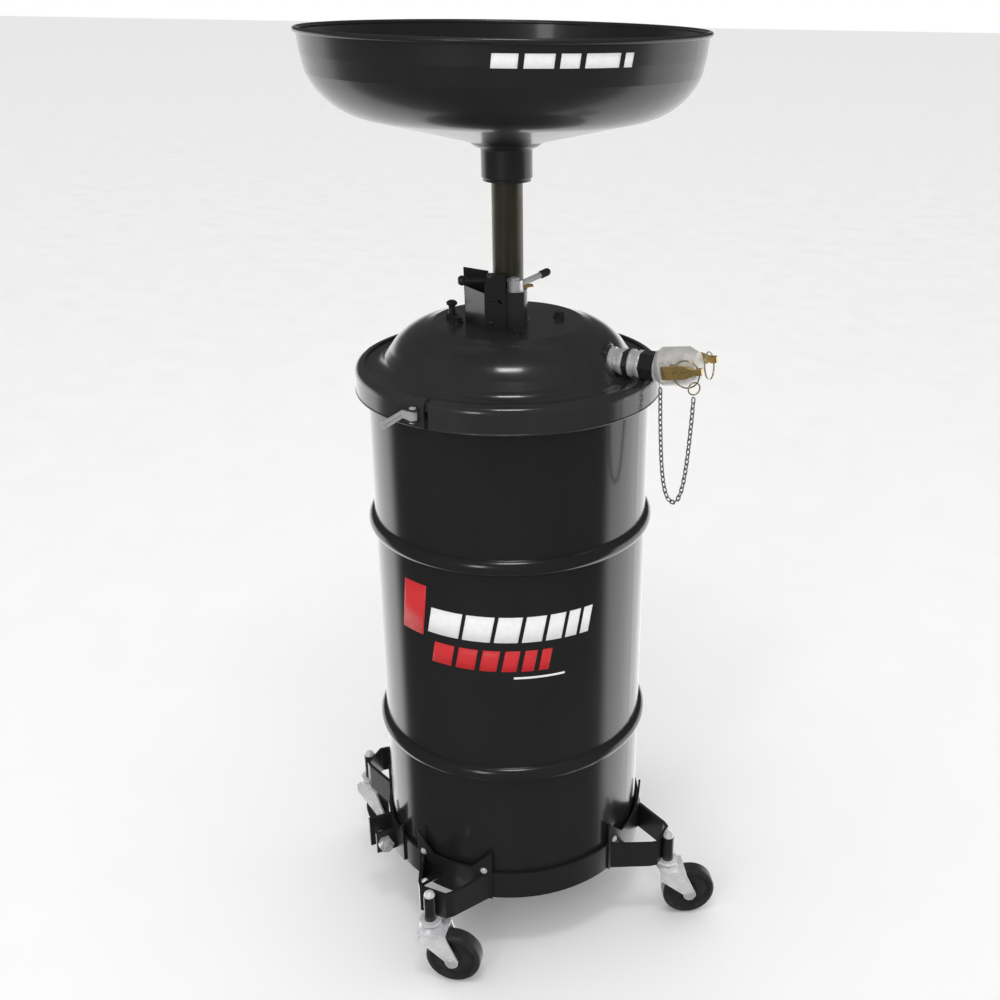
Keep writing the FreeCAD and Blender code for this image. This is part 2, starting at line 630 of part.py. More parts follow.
def drain_bowl():
    """Spun bowl with a coned floor, rounded shoulder, leaning wall and rolled rim."""
    skin = [(MAST_R, BOWL_FLOOR_Z), (32.0, BOWL_FLOOR_Z), ((38.0, 1073.0), (45.0, 1078.5)),
            (165.0, 1107.0), ((207.0, 1127.5), (228.0, 1157.0)), (232.4, 1177.0), (235.0, BOWL_RIM_Z - 1)]
    wall = sheet_lathe(skin, BOWL_T)
    bead_r = BOWL_RIM_R - RIM_BEAD_R
    low, high = BOWL_RIM_Z - RIM_BEAD_R, BOWL_RIM_Z + RIM_BEAD_R
    bead = lathe([(bead_r, low), ((BOWL_RIM_R, BOWL_RIM_Z), (bead_r, high)),
                  ((bead_r - RIM_BEAD_R, BOWL_RIM_Z), (bead_r, low))])
    return fused(wall, bead)


def bowl_screen():
    """Loose strainer disc over the drain hole, drilled in rings, on a short skirt."""
    z = BOWL_FLOOR_Z + 23.6
    plate = lathe([(0, z), (86, z), (92, z - 3.2), (92, z - 2.0), (86.5, z + 1.2), (0, z + 1.2)])
    holes = [disc(3.5, z - 9, z + 9, *on_circle(r, 360.0 * i / n))
             for r, n in ((0, 1), (15, 6), (30, 12), (45, 18), (60, 24), (75, 30)) for i in range(n)]
    return plate.cut(Part.makeCompound(holes))


# ---- vent -------------------------------------------------------------------------------------
def vent_base():
    """Hexagon bushing of the vent, screwed through the lid."""
    head = hexagon(15, PLATEAU_Z, PLATEAU_Z + 5, VENT_X, VENT_Y)
    neck = disc(5.0, PLATEAU_Z - 12, PLATEAU_Z + 1, VENT_X, VENT_Y)
    stem = disc(4.6, PLATEAU_Z + 4, PLATEAU_Z + 9, VENT_X, VENT_Y)
    bore = disc(2.5 + RUNNING_GAP, PLATEAU_Z - 20, PLATEAU_Z + 20, VENT_X, VENT_Y)
    return fused(head, neck, stem).cut(bore)


def vent_cap():
    """Turning cap on a slim stem that closes the vent."""
    z = PLATEAU_Z + 9.05
    cap = lathe([(0, PLATEAU_Z - 10), (2.5, PLATEAU_Z - 10), (2.5, z), (4.2, z), (4.2, z + 6), (5.4, z + 7),
                 (7.0, z + 8.4), (7.0, z + 10.6), (5.6, z + 12.2), (3.0, z + 13.4), (0, z + 13.4)])
    return moved(cap, VENT_X, VENT_Y)


# ---- discharge line ---------------------------------------------------------------------------
FIRST_BAND_X = 141.0
FIRST_BAND_END_X = 160.0
JAM_NUT_END_X = 167.3
UNION_END_X = 182.5
NUT_END_X = 201.0
LINE_TILT = 9.0
CLIP_X = 204.3
CAP_X = 205.8
ADAPTER_END_X = 238.0
CAP_END_X = 255.5
CAP_R = 23.5
CAP_BORE_R = 19.0
ARM_PIVOT_X = 224.0
ARM_PIVOT_Y = 27.0
ARM_HALF_H = 8.0
ARM_HOLE_X = 264.5
ARM_HOLE_Y = 26.7
PULL_RING_R = 16.5
PULL_WIRE_R = 1.0
RING_SAG = 11.0
SMALL_RING_R = 7.5
SMALL_WIRE_R = 0.9
CHAIN_START = Vector(208.6, -4.0, 802.0)
CHAIN_END = Vector(259.1, -ARM_HOLE_Y, 804.8)


def tilted(shape):
    """Past the line nut the discharge line is drawn straight, then tilted up."""
    return turned(shape, -LINE_TILT, Vector(NUT_END_X, 0, LINE_Z), Vector(0, 1, 0))


def pipe_nipple():
    """Pipe from the elbow out to the line nut."""
    return line_ring(PIPE_R, PIPE_BORE_R, DIP_X + 14, NUT_END_X)


def dip_elbow():
    """Cast elbow inside the lid, from the nipple down to the dip tube."""
    across = line_ring(17.0, 0, DIP_X, DIP_X + 24)
    down = disc(15.0, 806, LINE_Z, DIP_X)
    corner = Part.makeSphere(16.5, Vector(DIP_X, 0, LINE_Z))
    body = fused(across, down, corner)
    body = body.cut(line_ring(PIPE_R, 0, DIP_X + 14, DIP_X + 30)).cut(disc(DIP_R, 790, 818, DIP_X))
    return body.cut(line_ring(PIPE_BORE_R, 0, DIP_X, DIP_X + 20)).cut(disc(DIP_BORE_R, 800, LINE_Z, DIP_X))


def dip_tube():
    """Suction tube to the bottom of the drum, its foot cut on a slant."""
    body = tube(DIP_R, DIP_BORE_R, DIP_FOOT_Z, 818, DIP_X)
    wedge = Part.Face(path([(DIP_X - 20, DIP_FOOT_Z + 14), (DIP_X + 20, DIP_FOOT_Z - 8),
                            (DIP_X - 20, DIP_FOOT_Z - 8), (DIP_X - 20, DIP_FOOT_Z + 14)],
                           lambda a, b: Vector(a, -20, b))).extrude(Vector(0, 40, 0))
    return body.cut(wedge)


def jam_nut():
    """Flat nut between the two couplings."""
    return line_hexagon(29.5, FIRST_BAND_END_X, JAM_NUT_END_X, PIPE_R)


def banded(outer, x_low, x_high, band):
    """Threaded coupling: a barrel between two raised bands."""
    barrel = line_ring(outer - 1.7, PIPE_R, x_low, x_high)
    return fused(barrel, rounded_ring(outer, PIPE_R, x_low, x_low + band, 1.5),
                 rounded_ring(outer, PIPE_R, x_high - band, x_high, 1.5))


def pipe_couplings():
    """The coupling at the lid and the wider one before the line nut."""
    return group([banded(16.8, FIRST_BAND_X, FIRST_BAND_END_X, 6.0),
                  banded(17.3, JAM_NUT_END_X, UNION_END_X, 5.0)])


def line_nut():
    """Large nut that holds the adapter."""
    return line_hexagon(32.0, UNION_END_X, NUT_END_X, PIPE_R)


def cam_adapter():
    """Grooved male half of the cam coupling, tilted where it leaves the nut."""
    neck = line_ring(17.0, PIPE_BORE_R, NUT_END_X - 5, ADAPTER_END_X)
    lip = line_ring(CAP_BORE_R - 0.5, PIPE_BORE_R, ADAPTER_END_X - 9, ADAPTER_END_X)
    return tilted(fused(neck, lip)).cut(block(150, NUT_END_X, -40, 40, 780, 870))


def chain_clip():
    """Flat ring in the adapter's groove, with a tab below that holds the chain."""
    plate = line_ring(19.8, 17.1, CLIP_X, CLIP_X + 1)
    tab = block(CLIP_X, CLIP_X + 1, -7.5, -0.5, LINE_Z - 24, LINE_Z - 18.2)
    return tilted(fused(plate, tab))


def dust_cap():
    """Cast cap of the cam coupling: a barrel with a chamfered end and two ears for each arm."""
    x0 = CAP_X
    body = lathe([(CAP_BORE_R, 0), (19.6, 0), (CAP_R, 5), (CAP_R, 38), (CAP_R - 7, CAP_END_X - x0),
                  (0, CAP_END_X - x0), (0, ADAPTER_END_X + 0.3 - x0), (CAP_BORE_R, ADAPTER_END_X + 0.3 - x0)])
    body = moved(turned(body, 90, ORIGIN, Vector(0, 1, 0)), x0, 0, LINE_Z)
    ears = []
    for side in (-1, 1):
        low, high = sorted((side * 18.0, side * 31.0))
        for z in (LINE_Z - ARM_HALF_H - 3.5, LINE_Z + ARM_HALF_H):
            ears.append(block(ARM_PIVOT_X - 8, ARM_PIVOT_X + 5, low, high, z, z + 3.5))
    body = fused(body, *ears).cut(line_ring(CAP_BORE_R, 0, x0 - 2, ADAPTER_END_X + 0.3))
    for side in (-1, 1):
        low, high = sorted((side * 20.0, side * 40.0))
        body = body.cut(block(ARM_PIVOT_X - 9, ARM_PIVOT_X + 9, low, high,
                              LINE_Z - ARM_HALF_H, LINE_Z + ARM_HALF_H))
        body = body.cut(disc(2.5, LINE_Z - 14, LINE_Z + 14, ARM_PIVOT_X, side * ARM_PIVOT_Y))
    return tilted(body)


def cap_pins():
    """Pins that the two cam arms turn on."""
    return group([tilted(disc(2.5, LINE_Z - 12.5, LINE_Z + 12.5, ARM_PIVOT_X, side * ARM_PIVOT_Y))
                  for side in (-1, 1)])


def cap_arm(side):
    """Brass cam arm folded back along the cap; drawn on +Y, mirrored for the other side."""
    half = ARM_HALF_H - 0.1
    head = disc(6.0, LINE_Z - half, LINE_Z + half, ARM_PIVOT_X, ARM_PIVOT_Y)
    bar = slab([(224, 25.8), (229, 25.8), (229.6, 28.1), (260.2, 28.1), (260.9, 23.3), (267.4, 23.3),
                (268.8, 24.8), (268.8, 30.4), (265.6, 33.0), (236, 32.4), (224, 33.0)],
               LINE_Z - half, LINE_Z + half)
    side_view = path([(216, -half), (249, -half), (259, -3.6), (270, -3.6), (270, 3.6), (259, 3.6),
                      (249, half), (216, half), (216, -half)], lambda a, b: Vector(a, 0, LINE_Z + b))
    bar = bar.common(Part.Face(side_view).extrude(Vector(0, 50, 0)))
    channel = block(233, 256, 31.4, 36, LINE_Z - 2.0, LINE_Z + 2.0)
    body = fused(head, bar).cut(channel)
    body = body.cut(disc(2.5 + RUNNING_GAP, LINE_Z - 20, LINE_Z + 20, ARM_PIVOT_X, ARM_PIVOT_Y))
    body = tilted(body.cut(disc(2.6, LINE_Z - 20, LINE_Z + 20, ARM_HOLE_X, ARM_HOLE_Y)))
    return body if side > 0 else body.mirror(ORIGIN, Vector(0, 1, 0))


def ring_drop():
    """How far a pull ring's centre lies from its hole, sideways and down."""
    return PULL_RING_R * math.cos(math.radians(RING_SAG)), PULL_RING_R * math.sin(math.radians(RING_SAG))


def pull_ring_front():
    """Wire ring through the tip of the front arm, lying between the arm and the cap."""
    along, down = ring_drop()
    return tilted(Part.makeTorus(PULL_RING_R, PULL_WIRE_R,
                                 Vector(ARM_HOLE_X - along, -ARM_HOLE_Y, LINE_Z - down), Vector(0, 1, 0)))


def pull_ring_rear():
    """Wire ring through the tip of the rear arm, hanging across the end of the cap."""
    along, down = ring_drop()
    return tilted(Part.makeTorus(PULL_RING_R, PULL_WIRE_R,
                                 Vector(ARM_HOLE_X, ARM_HOLE_Y - along, LINE_Z - down), Vector(1, 0, 0)))


def chain_ring():
    """Small ring on the front pull ring, above the end of the chain."""
    centre = Vector(CHAIN_END.x, CHAIN_END.y, CHAIN_END.z + 3.1 + SMALL_WIRE_R + SMALL_RING_R)
    return Part.makeTorus(SMALL_RING_R, SMALL_WIRE_R, centre, Vector(1, -1, 0))


# ---- chain, from the adapter's groove to the front pull ring ------------------------------------
CHAIN_DEPTH = 142.2
LINK_WIRE_R = 0.85
LINK_PITCH = 6.6
LINK_HALF_W = 2.4


def chain_point(share):
    """Point on the hanging curve; share runs from -1 at the start to 1 at the end."""
    steep = 4.0
    along = (share + 1) / 2
    base = CHAIN_START + (CHAIN_END - CHAIN_START) * along
    sag = CHAIN_DEPTH * (math.cosh(steep) - math.cosh(steep * share)) / (math.cosh(steep) - 1)
    return base - Vector(0, 0, sag)


def chain_link(centre, along, across, pitch):
    """One oval link: two straight sides and two round ends."""
    r = LINK_HALF_W
    along, across = Vector(along).normalize(), Vector(across).normalize()
    reach = along * (pitch / 2 + LINK_WIRE_R - 0.02 - r)
    corners = [centre - reach - across * r, centre + reach - across * r,
               centre + reach + across * r, centre - reach + across * r]
    tips = [centre + reach + along * r, centre - reach - along * r]
    middle = (corners[0] + corners[1]) * 0.5
    section = Part.Wire([Part.Circle(middle, along, LINK_WIRE_R).toShape()])
    oval = Part.Wire([Part.LineSegment(middle, corners[1]).toShape(),
                      Part.Arc(corners[1], tips[0], corners[2]).toShape(),
                      Part.LineSegment(corners[2], corners[3]).toShape(),
                      Part.Arc(corners[3], tips[1], corners[0]).toShape(),
                      Part.LineSegment(corners[0], middle).toShape()])
    return oval.makePipeShell([section], True, True)


def chain():
    """Links spaced evenly along the hanging curve, each turned a quarter from the last."""
    fine = [chain_point(-1 + i / 1500.0) for i in range(3001)]
    length = sum((after - before).Length for before, after in zip(fine, fine[1:]))
    pitch = length / round(length / LINK_PITCH)
    side = (CHAIN_END - CHAIN_START).cross(UP)
    links, travelled, wanted = [], 0.0, pitch / 2
    for before, after in zip(fine, fine[1:]):
        travelled += (after - before).Length
        if travelled >= wanted:
            along = after - before
            across = side if len(links) % 2 else side.cross(along)
            links.append(chain_link(before, along, across, pitch))
            wanted += pitch
    print("chain links", len(links), "length", round(length, 1))
    return Part.makeCompound(links)


def write_all():
    """Writes one file for each node."""
    os.makedirs("parts", exist_ok=True)
    save("dolly_ring", dolly_ring())
    save("caster_sockets", group([turned(caster_socket(), a) for a in QUARTER_TURNS.values()]))
    save("dolly_screws", group([bracket_screws(), turned(band_screw(), LUG_ANGLE)]))
    save("caster_brackets", group([turned(caster_bracket(), a) for a in QUARTER_TURNS.values()]))
    save("caster_stems", group([at_caster(caster_stem(), place) for place in QUARTER_TURNS]))
    for place in QUARTER_TURNS:
        save("caster_fork_" + place, at_caster(caster_fork(), place))
        save("caster_axle_" + place, at_caster(caster_axle(), place))
        save("caster_wheel_" + place, at_caster(caster_wheel(), place))
    save("band_lugs", turned(band_lugs(), LUG_ANGLE))
    save("band_bolt", turned(band_bolt(), LUG_ANGLE))
    save("drum_shell", drum_shell())
    save("drum_bottom", drum_bottom())
    save("drum_lid", drum_lid())
    save("lid_gasket", lid_gasket())
    save("closing_ring", closing_ring())
    save("latch_pin", latch_pin())
    save("latch_lever", latch_lever())
    save("mast_guide", mast_guide())
    save("mast_bushing", mast_bushing())
    save("guide_bolts", guide_bolts())
    save("guide_nuts", guide_nuts())
    save("guard_bracket", guard_bracket())
    save("guard_rivets", guard_rivets())
    save("lock_plunger", lock_plunger())
    save("plunger_knob", plunger_knob())
    save("cam_pivot", cam_pivot())
    save("cam_lever", cam_lever())
    save("cam_shoe", cam_shoe())
    save("lever_grip", lever_grip())
    save("mast_tube", mast_tube())
    save("bowl_socket", bowl_socket())
    save("drain_bowl", drain_bowl())
    save("bowl_screen", bowl_screen())
    save("vent_base", vent_base())
    save("vent_cap", vent_cap())
    save("pipe_nipple", pipe_nipple())
    save("dip_elbow", dip_elbow())
    save("dip_tube", dip_tube())
    save("jam_nut", jam_nut())
    save("pipe_couplings", pipe_couplings())
    save("line_nut", line_nut())
    save("cam_adapter", cam_adapter())
    save("chain_clip", chain_clip())
    save("dust_cap", dust_cap())
    save("cap_pins", cap_pins())
    save("cap_arm_front", cap_arm(-1))
    save("cap_arm_rear", cap_arm(1))
    save("pull_ring_front", pull_ring_front())
    save("pull_ring_rear", pull_ring_rear())
    save("chain_ring", chain_ring())
    save("chain", chain())


write_all()
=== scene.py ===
"""Looks of the portable used-oil drain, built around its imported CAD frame.

Metres, +Z up, origin on the floor on the drum's axis, +X along the discharge line.
"""
import bmesh
import bpy
import json
import math
import random
from mathutils import Matrix, Vector

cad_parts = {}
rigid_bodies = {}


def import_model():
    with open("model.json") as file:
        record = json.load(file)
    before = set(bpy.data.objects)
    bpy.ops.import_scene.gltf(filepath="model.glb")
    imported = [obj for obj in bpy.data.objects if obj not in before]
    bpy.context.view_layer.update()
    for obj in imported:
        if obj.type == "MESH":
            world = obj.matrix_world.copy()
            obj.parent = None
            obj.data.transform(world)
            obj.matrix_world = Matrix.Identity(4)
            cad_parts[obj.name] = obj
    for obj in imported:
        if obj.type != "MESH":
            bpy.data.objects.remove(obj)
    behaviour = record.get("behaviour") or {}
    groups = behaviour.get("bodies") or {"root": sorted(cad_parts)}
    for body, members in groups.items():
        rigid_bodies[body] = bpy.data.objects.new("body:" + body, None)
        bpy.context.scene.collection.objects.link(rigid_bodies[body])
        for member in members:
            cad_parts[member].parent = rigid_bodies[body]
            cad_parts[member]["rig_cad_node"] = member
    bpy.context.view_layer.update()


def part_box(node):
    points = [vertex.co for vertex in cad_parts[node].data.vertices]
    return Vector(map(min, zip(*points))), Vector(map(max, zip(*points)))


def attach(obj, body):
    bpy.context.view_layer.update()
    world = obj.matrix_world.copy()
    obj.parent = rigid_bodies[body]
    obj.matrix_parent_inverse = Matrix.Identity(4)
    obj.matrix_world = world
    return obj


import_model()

MM = 0.001
CAMERA_TURN = 27.7
CAMERA_HEADING, CAMERA_PITCH, CAMERA_ROLL = 4.2, 23.88, 1.0
CAMERA_PLACE = (0.00086, -1.47237, 1.2643)
BACKDROP_AZIMUTH = 105.0
FLOOR_REACH = 40.0
DRUM_WALL_R = 180.5
BOWL_WALL_R = 232.9
BOWL_WALL_Z = 1183.0
BOWL_WALL_TAPER = 0.11
GUIDE_SLEEVE_R = 24.3
LID_TOP_Z = 861.4
LINE_Z = 828.0
LINE_BOSS_X = 136.6
LINE_BOSS_R = 18.7
CORNERS = ("right", "rear", "left", "front")


# ---- camera and light ---------------------------------------------------------------------------
def camera():
    """Camera at the photograph's viewing angle, set by its place, heading, pitch and roll."""
    heading, pitch, roll = (math.radians(a) for a in (CAMERA_HEADING, CAMERA_PITCH, CAMERA_ROLL))
    level = math.cos(pitch)
    forward = Vector((math.sin(heading) * level, math.cos(heading) * level, -math.sin(pitch)))
    right = Vector((math.cos(heading), -math.sin(heading), 0))
    up = right.cross(forward)
    tilted_right = right * math.cos(roll) + up * math.sin(roll)
    tilted_up = up * math.cos(roll) - right * math.sin(roll)
    axes = Matrix((tilted_right, tilted_up, -forward)).transposed().to_4x4()
    place = Matrix.Translation(CAMERA_PLACE) @ axes
    cam = bpy.data.objects.new("camera", bpy.data.cameras.new("camera"))
    cam.matrix_world = Matrix.Rotation(math.radians(CAMERA_TURN), 4, "Z") @ place
    cam.data.sensor_width = 36.0
    cam.data.lens = 43.0
    cam.data.shift_x = -0.0918
    cam.data.clip_end = 30.0
    bpy.context.scene.collection.objects.link(cam)
    bpy.context.scene.camera = cam
    bpy.context.scene.view_settings.view_transform = "Standard"


def area_light(name, azimuth, distance, height, size, power, aim):
    """Rectangular softbox round the object; azimuth is counted from +X, as seen from above."""
    a = math.radians(azimuth)
    light = bpy.data.objects.new(name, bpy.data.lights.new(name, "AREA"))
    light.data.shape = "RECTANGLE"
    light.data.size, light.data.size_y = size
    light.data.energy = power
    light.location = (distance * math.cos(a), distance * math.sin(a), height)
    look = Vector((0, 0, aim)) - light.location
    light.rotation_mode = "QUATERNION"
    light.rotation_quaternion = look.to_track_quat("-Z", "Y")
    bpy.context.scene.collection.objects.link(light)


def background(nodes, strength):
    """White world light of one strength."""
    node = nodes.new("ShaderNodeBackground")
    node.inputs["Color"].default_value = (1, 1, 1, 1)
    node.inputs["Strength"].default_value = strength
    return node


def surroundings():
    """White studio; gloss sees a white backdrop behind the object and a dim room in front of it."""
    world = bpy.data.worlds.new("studio")
    bpy.context.scene.world = world
    world.use_nodes = True
    nodes, links = world.node_tree.nodes, world.node_tree.links
    nodes.clear()
    out = nodes.new("ShaderNodeOutputWorld")
    direction = nodes.new("ShaderNodeTexCoord")
    behind = nodes.new("ShaderNodeVectorMath")
    behind.operation = "DOT_PRODUCT"
    middle = math.radians(BACKDROP_AZIMUTH)
    behind.inputs[1].default_value = (math.cos(middle), math.sin(middle), 0)
    links.new(direction.outputs["Generated"], behind.inputs[0])
    height = nodes.new("ShaderNodeSeparateXYZ")
    links.new(direction.outputs["Generated"], height.inputs[0])
    both = nodes.new("ShaderNodeMath")
    both.operation = "MULTIPLY"
    limits = ((behind.outputs["Value"], 0.08, 0.22), (height.outputs["Z"], 0.1, -0.02))
    for slot, (value, start, end) in enumerate(limits):
        ramp = nodes.new("ShaderNodeMapRange")
        links.new(value, ramp.inputs["Value"])
        ramp.inputs["From Min"].default_value = start
        ramp.inputs["From Max"].default_value = end
        links.new(ramp.outputs[0], both.inputs[slot])
    reflected = nodes.new("ShaderNodeMixShader")
    links.new(both.outputs[0], reflected.inputs[0])
    links.new(background(nodes, 0.07).outputs[0], reflected.inputs[1])
    links.new(background(nodes, 1.5).outputs[0], reflected.inputs[2])
    ray = nodes.new("ShaderNodeLightPath")
    mix = nodes.new("ShaderNodeMixShader")
    links.new(ray.outputs["Is Glossy Ray"], mix.inputs[0])
    links.new(background(nodes, 1.0).outputs[0], mix.inputs[1])
    links.new(reflected.outputs[0], mix.inputs[2])
    links.new(mix.outputs[0], out.inputs[0])
    floor_mesh = bpy.data.meshes.new("floor")
    signs = ((-1, -1), (1, -1), (1, 1), (-1, 1))
    floor_mesh.from_pydata([(x * FLOOR_REACH, y * FLOOR_REACH, 0) for x, y in signs], [], [(0, 1, 2, 3)])
    floor = bpy.data.objects.new("floor", floor_mesh)
    bpy.context.scene.collection.objects.link(floor)
    floor.data.materials.append(floor_material())
    floor.visible_glossy = False
    area_light("front_window", -88, 2.3, 1.5, (0.4, 0.8), 6, 0.7)
    area_light("top_soft", -62, 0.75, 2.6, (0.5, 0.28), 7, 0.85)


# ---- materials ----------------------------------------------------------------------------------
class Recipe:
    """A material under construction, with short names for the nodes it needs."""

    def __init__(self, name):
        self.material = bpy.data.materials.new(name)
        self.material.use_nodes = True
        self.nodes = self.material.node_tree.nodes
        self.links = self.material.node_tree.links
        self.shader = self.nodes["Principled BSDF"]
        self.place = self.nodes.new("ShaderNodeTexCoord").outputs["Object"]

    def put(self, socket, value):
        """Sets or links an input, of the shader unless it is a socket."""
        target = self.shader.inputs[socket] if isinstance(socket, str) else socket
        if isinstance(value, bpy.types.NodeSocket):
            self.links.new(value, target)
        else:
            target.default_value = value
        return self

    def stretched(self, scale):
        """Object coordinates, scaled unevenly."""
        node = self.nodes.new("ShaderNodeMapping")
        self.links.new(self.place, node.inputs["Vector"])
        node.inputs["Scale"].default_value = scale
        return node.outputs[0]

    def noise(self, scale, detail=3.0, rough=0.55, stretch=None):
        """Cloudy noise from 0 to 1."""
        node = self.nodes.new("ShaderNodeTexNoise")
        self.links.new(self.stretched(stretch) if stretch else self.place, node.inputs["Vector"])
        node.inputs["Scale"].default_value = scale
        node.inputs["Detail"].default_value = detail
        node.inputs["Roughness"].default_value = rough
        return node.outputs["Fac"]

    def cells(self, scale):
        """Distance to scattered points."""
        node = self.nodes.new("ShaderNodeTexVoronoi")
        self.links.new(self.place, node.inputs["Vector"])
        node.inputs["Scale"].default_value = scale
        return node.outputs["Distance"]

    def remap(self, value, low, high, to_low, to_high):
        """Maps one range of numbers onto another."""
        node = self.nodes.new("ShaderNodeMapRange")
        self.links.new(value, node.inputs["Value"])
        for name, number in (("From Min", low), ("From Max", high), ("To Min", to_low), ("To Max", to_high)):
            node.inputs[name].default_value = number
        return node.outputs[0]

    def math(self, kind, first, second):
        """One sum of two values."""
        node = self.nodes.new("ShaderNodeMath")
        node.operation = kind
        self.put(node.inputs[0], first)
        self.put(node.inputs[1], second)
        return node.outputs[0]

    def blend(self, amount, first, second):
        """Mix of two colours."""
        node = self.nodes.new("ShaderNodeMix")
        node.data_type = "RGBA"
        self.put(node.inputs["Factor"], amount)
        self.put(node.inputs["A"], first)
        self.put(node.inputs["B"], second)
        return node.outputs["Result"]

    def relief(self, height, strength, distance=0.0004, edge=0.0):
        """Bump from a height, with edges rounded by a bevel."""
        node = self.nodes.new("ShaderNodeBump")
        node.inputs["Strength"].default_value = strength
        node.inputs["Distance"].default_value = distance
        self.links.new(height, node.inputs["Height"])
        if edge:
            bevel = self.nodes.new("ShaderNodeBevel")
            bevel.samples = 4
            bevel.inputs["Radius"].default_value = edge
            self.links.new(bevel.outputs[0], node.inputs["Normal"])
        self.put("Normal", node.outputs[0])
        return self


def rgb(r, g, b):
    """Colour with full alpha."""
    return (r, g, b, 1.0)


def floor_material():
    """Pale matt floor, faintly uneven."""
    m = Recipe("pale_floor")
    tone = m.noise(3.0, 4)
    m.put("Base Color", m.blend(tone, rgb(0.93, 0.93, 0.925), rgb(0.96, 0.96, 0.955)))
    m.put("Roughness", m.remap(m.noise(9.0), 0.3, 0.7, 0.55, 0.7))
    return m.relief(m.noise(260.0, 2), 0.05).material


def enamel(name, tone=0.012, rough=0.2, peel=0.05, edge=0.0006):
    """Black enamel over steel: orange peel, faint smears and dust, with edges rounded by a bevel."""
    m = Recipe(name)
    smear = m.noise(6.0, 5, 0.6, (1, 1, 0.35))
    dust = m.noise(90.0, 6, 0.7)
    base = m.blend(m.remap(smear, 0.35, 0.75, 0, 1), rgb(tone, tone, tone * 1.04),
                   rgb(tone * 1.5, tone * 1.5, tone * 1.52))
    m.put("Base Color", m.blend(m.remap(dust, 0.62, 0.8, 0, 0.14), base, rgb(0.05, 0.049, 0.047)))
    m.put("Roughness", m.math("ADD", m.remap(smear, 0.3, 0.75, rough - 0.04, rough + 0.09),
                              m.remap(dust, 0.5, 0.8, 0, 0.05)))
    m.put("Coat Weight", 0.35)
    m.put("Coat Roughness", 0.12)
    return m.relief(m.noise(420.0, 2, 0.4), peel, 0.0003, edge).material


def zinc(name, tone=0.72, rough=0.27, brush=(1, 1, 14), tint=(1, 1, 1.02), metal=0.8):
    """Bright zinc plate: cloudy spangle, fine drawing lines and dull spots."""
    m = Recipe(name)
    cloud = m.noise(38.0, 4, 0.6)
    lines = m.noise(320.0, 2, 0.5, brush)
    spots = m.cells(210.0)
    light = rgb(tone * tint[0], tone * tint[1], tone * tint[2])
    dark = rgb(tone * 0.72 * tint[0], tone * 0.72 * tint[1], tone * 0.74 * tint[2])
    m.put("Base Color", m.blend(m.remap(cloud, 0.35, 0.7, 0, 1), light, dark))
    m.put("Metallic", metal)
    m.put("Roughness", m.math("ADD", m.remap(cloud, 0.3, 0.7, rough - 0.06, rough + 0.1),
                              m.remap(spots, 0.0, 0.35, 0.08, 0.0)))
    return m.relief(lines, 0.12, 0.0002, 0.0004).material


def mast_steel():
    """Bare tube: drawn along its length, browned by oil, with rubbed streaks."""
    m = Recipe("mast_steel")
    streak = m.noise(120.0, 4, 0.6, (1, 1, 0.03))
    stain = m.noise(14.0, 5, 0.65, (1, 1, 0.4))
    base = m.blend(m.remap(streak, 0.3, 0.7, 0, 1), rgb(0.055, 0.052, 0.04), rgb(0.12, 0.112, 0.085))
    m.put("Base Color", m.blend(m.remap(stain, 0.5, 0.75, 0, 0.6), base, rgb(0.05, 0.04, 0.025)))
    m.put("Metallic", 0.7)
    m.put("Roughness", m.remap(stain, 0.3, 0.7, 0.3, 0.5))
    return m.relief(streak, 0.15, 0.0002).material


def cast_aluminium():
    """Sand-cast aluminium, fine pitted skin with brighter machined high spots."""
    m = Recipe("cast_aluminium")
    grain = m.noise(700.0, 3, 0.6)
    cloud = m.noise(60.0, 4)
    skin = m.remap(cloud, 0.35, 0.7, 0, 1)
    m.put("Base Color", m.blend(skin, rgb(0.80, 0.79, 0.76), rgb(0.62, 0.60, 0.56)))
    m.put("Metallic", 0.5)
    m.put("Roughness", m.remap(grain, 0.3, 0.7, 0.38, 0.58))
    return m.relief(grain, 0.35, 0.0003, 0.0006).material


def brass():
    """Cast brass, cloudy, with edges rounded by a bevel."""
    m = Recipe("brass")
    cloud = m.noise(70.0, 5, 0.6)
    skin = m.remap(cloud, 0.35, 0.7, 0, 1)
    m.put("Base Color", m.blend(skin, rgb(0.80, 0.58, 0.22), rgb(0.60, 0.40, 0.13)))
    m.put("Metallic", 0.85)
    m.put("Roughness", m.remap(cloud, 0.3, 0.7, 0.2, 0.36))
    return m.relief(m.noise(500.0, 2), 0.2, 0.0002, 0.0007).material


def rubber(name, tone=0.022, rough=0.5):
    """Moulded black rubber, dusty and faintly scuffed."""
    m = Recipe(name)
    scuff = m.noise(45.0, 6, 0.65)
    dusty = rgb(tone * 2.1, tone * 2.1, tone * 2.0)
    m.put("Base Color", m.blend(m.remap(scuff, 0.45, 0.75, 0, 1), rgb(tone, tone, tone), dusty))
    m.put("Roughness", m.remap(scuff, 0.3, 0.75, rough - 0.1, rough + 0.14))
    return m.relief(m.noise(650.0, 3, 0.6), 0.18, 0.0003, 0.0008).material


def plastic():
    """Moulded black plastic with a fine grain."""
    m = Recipe("black_plastic")
    m.put("Base Color", m.blend(m.noise(80.0, 4), rgb(0.012, 0.012, 0.012), rgb(0.03, 0.03, 0.03)))
    m.put("Roughness", m.remap(m.noise(120.0, 3), 0.3, 0.7, 0.28, 0.45))
    return m.relief(m.cells(1500.0), 0.12, 0.0002, 0.0006).material


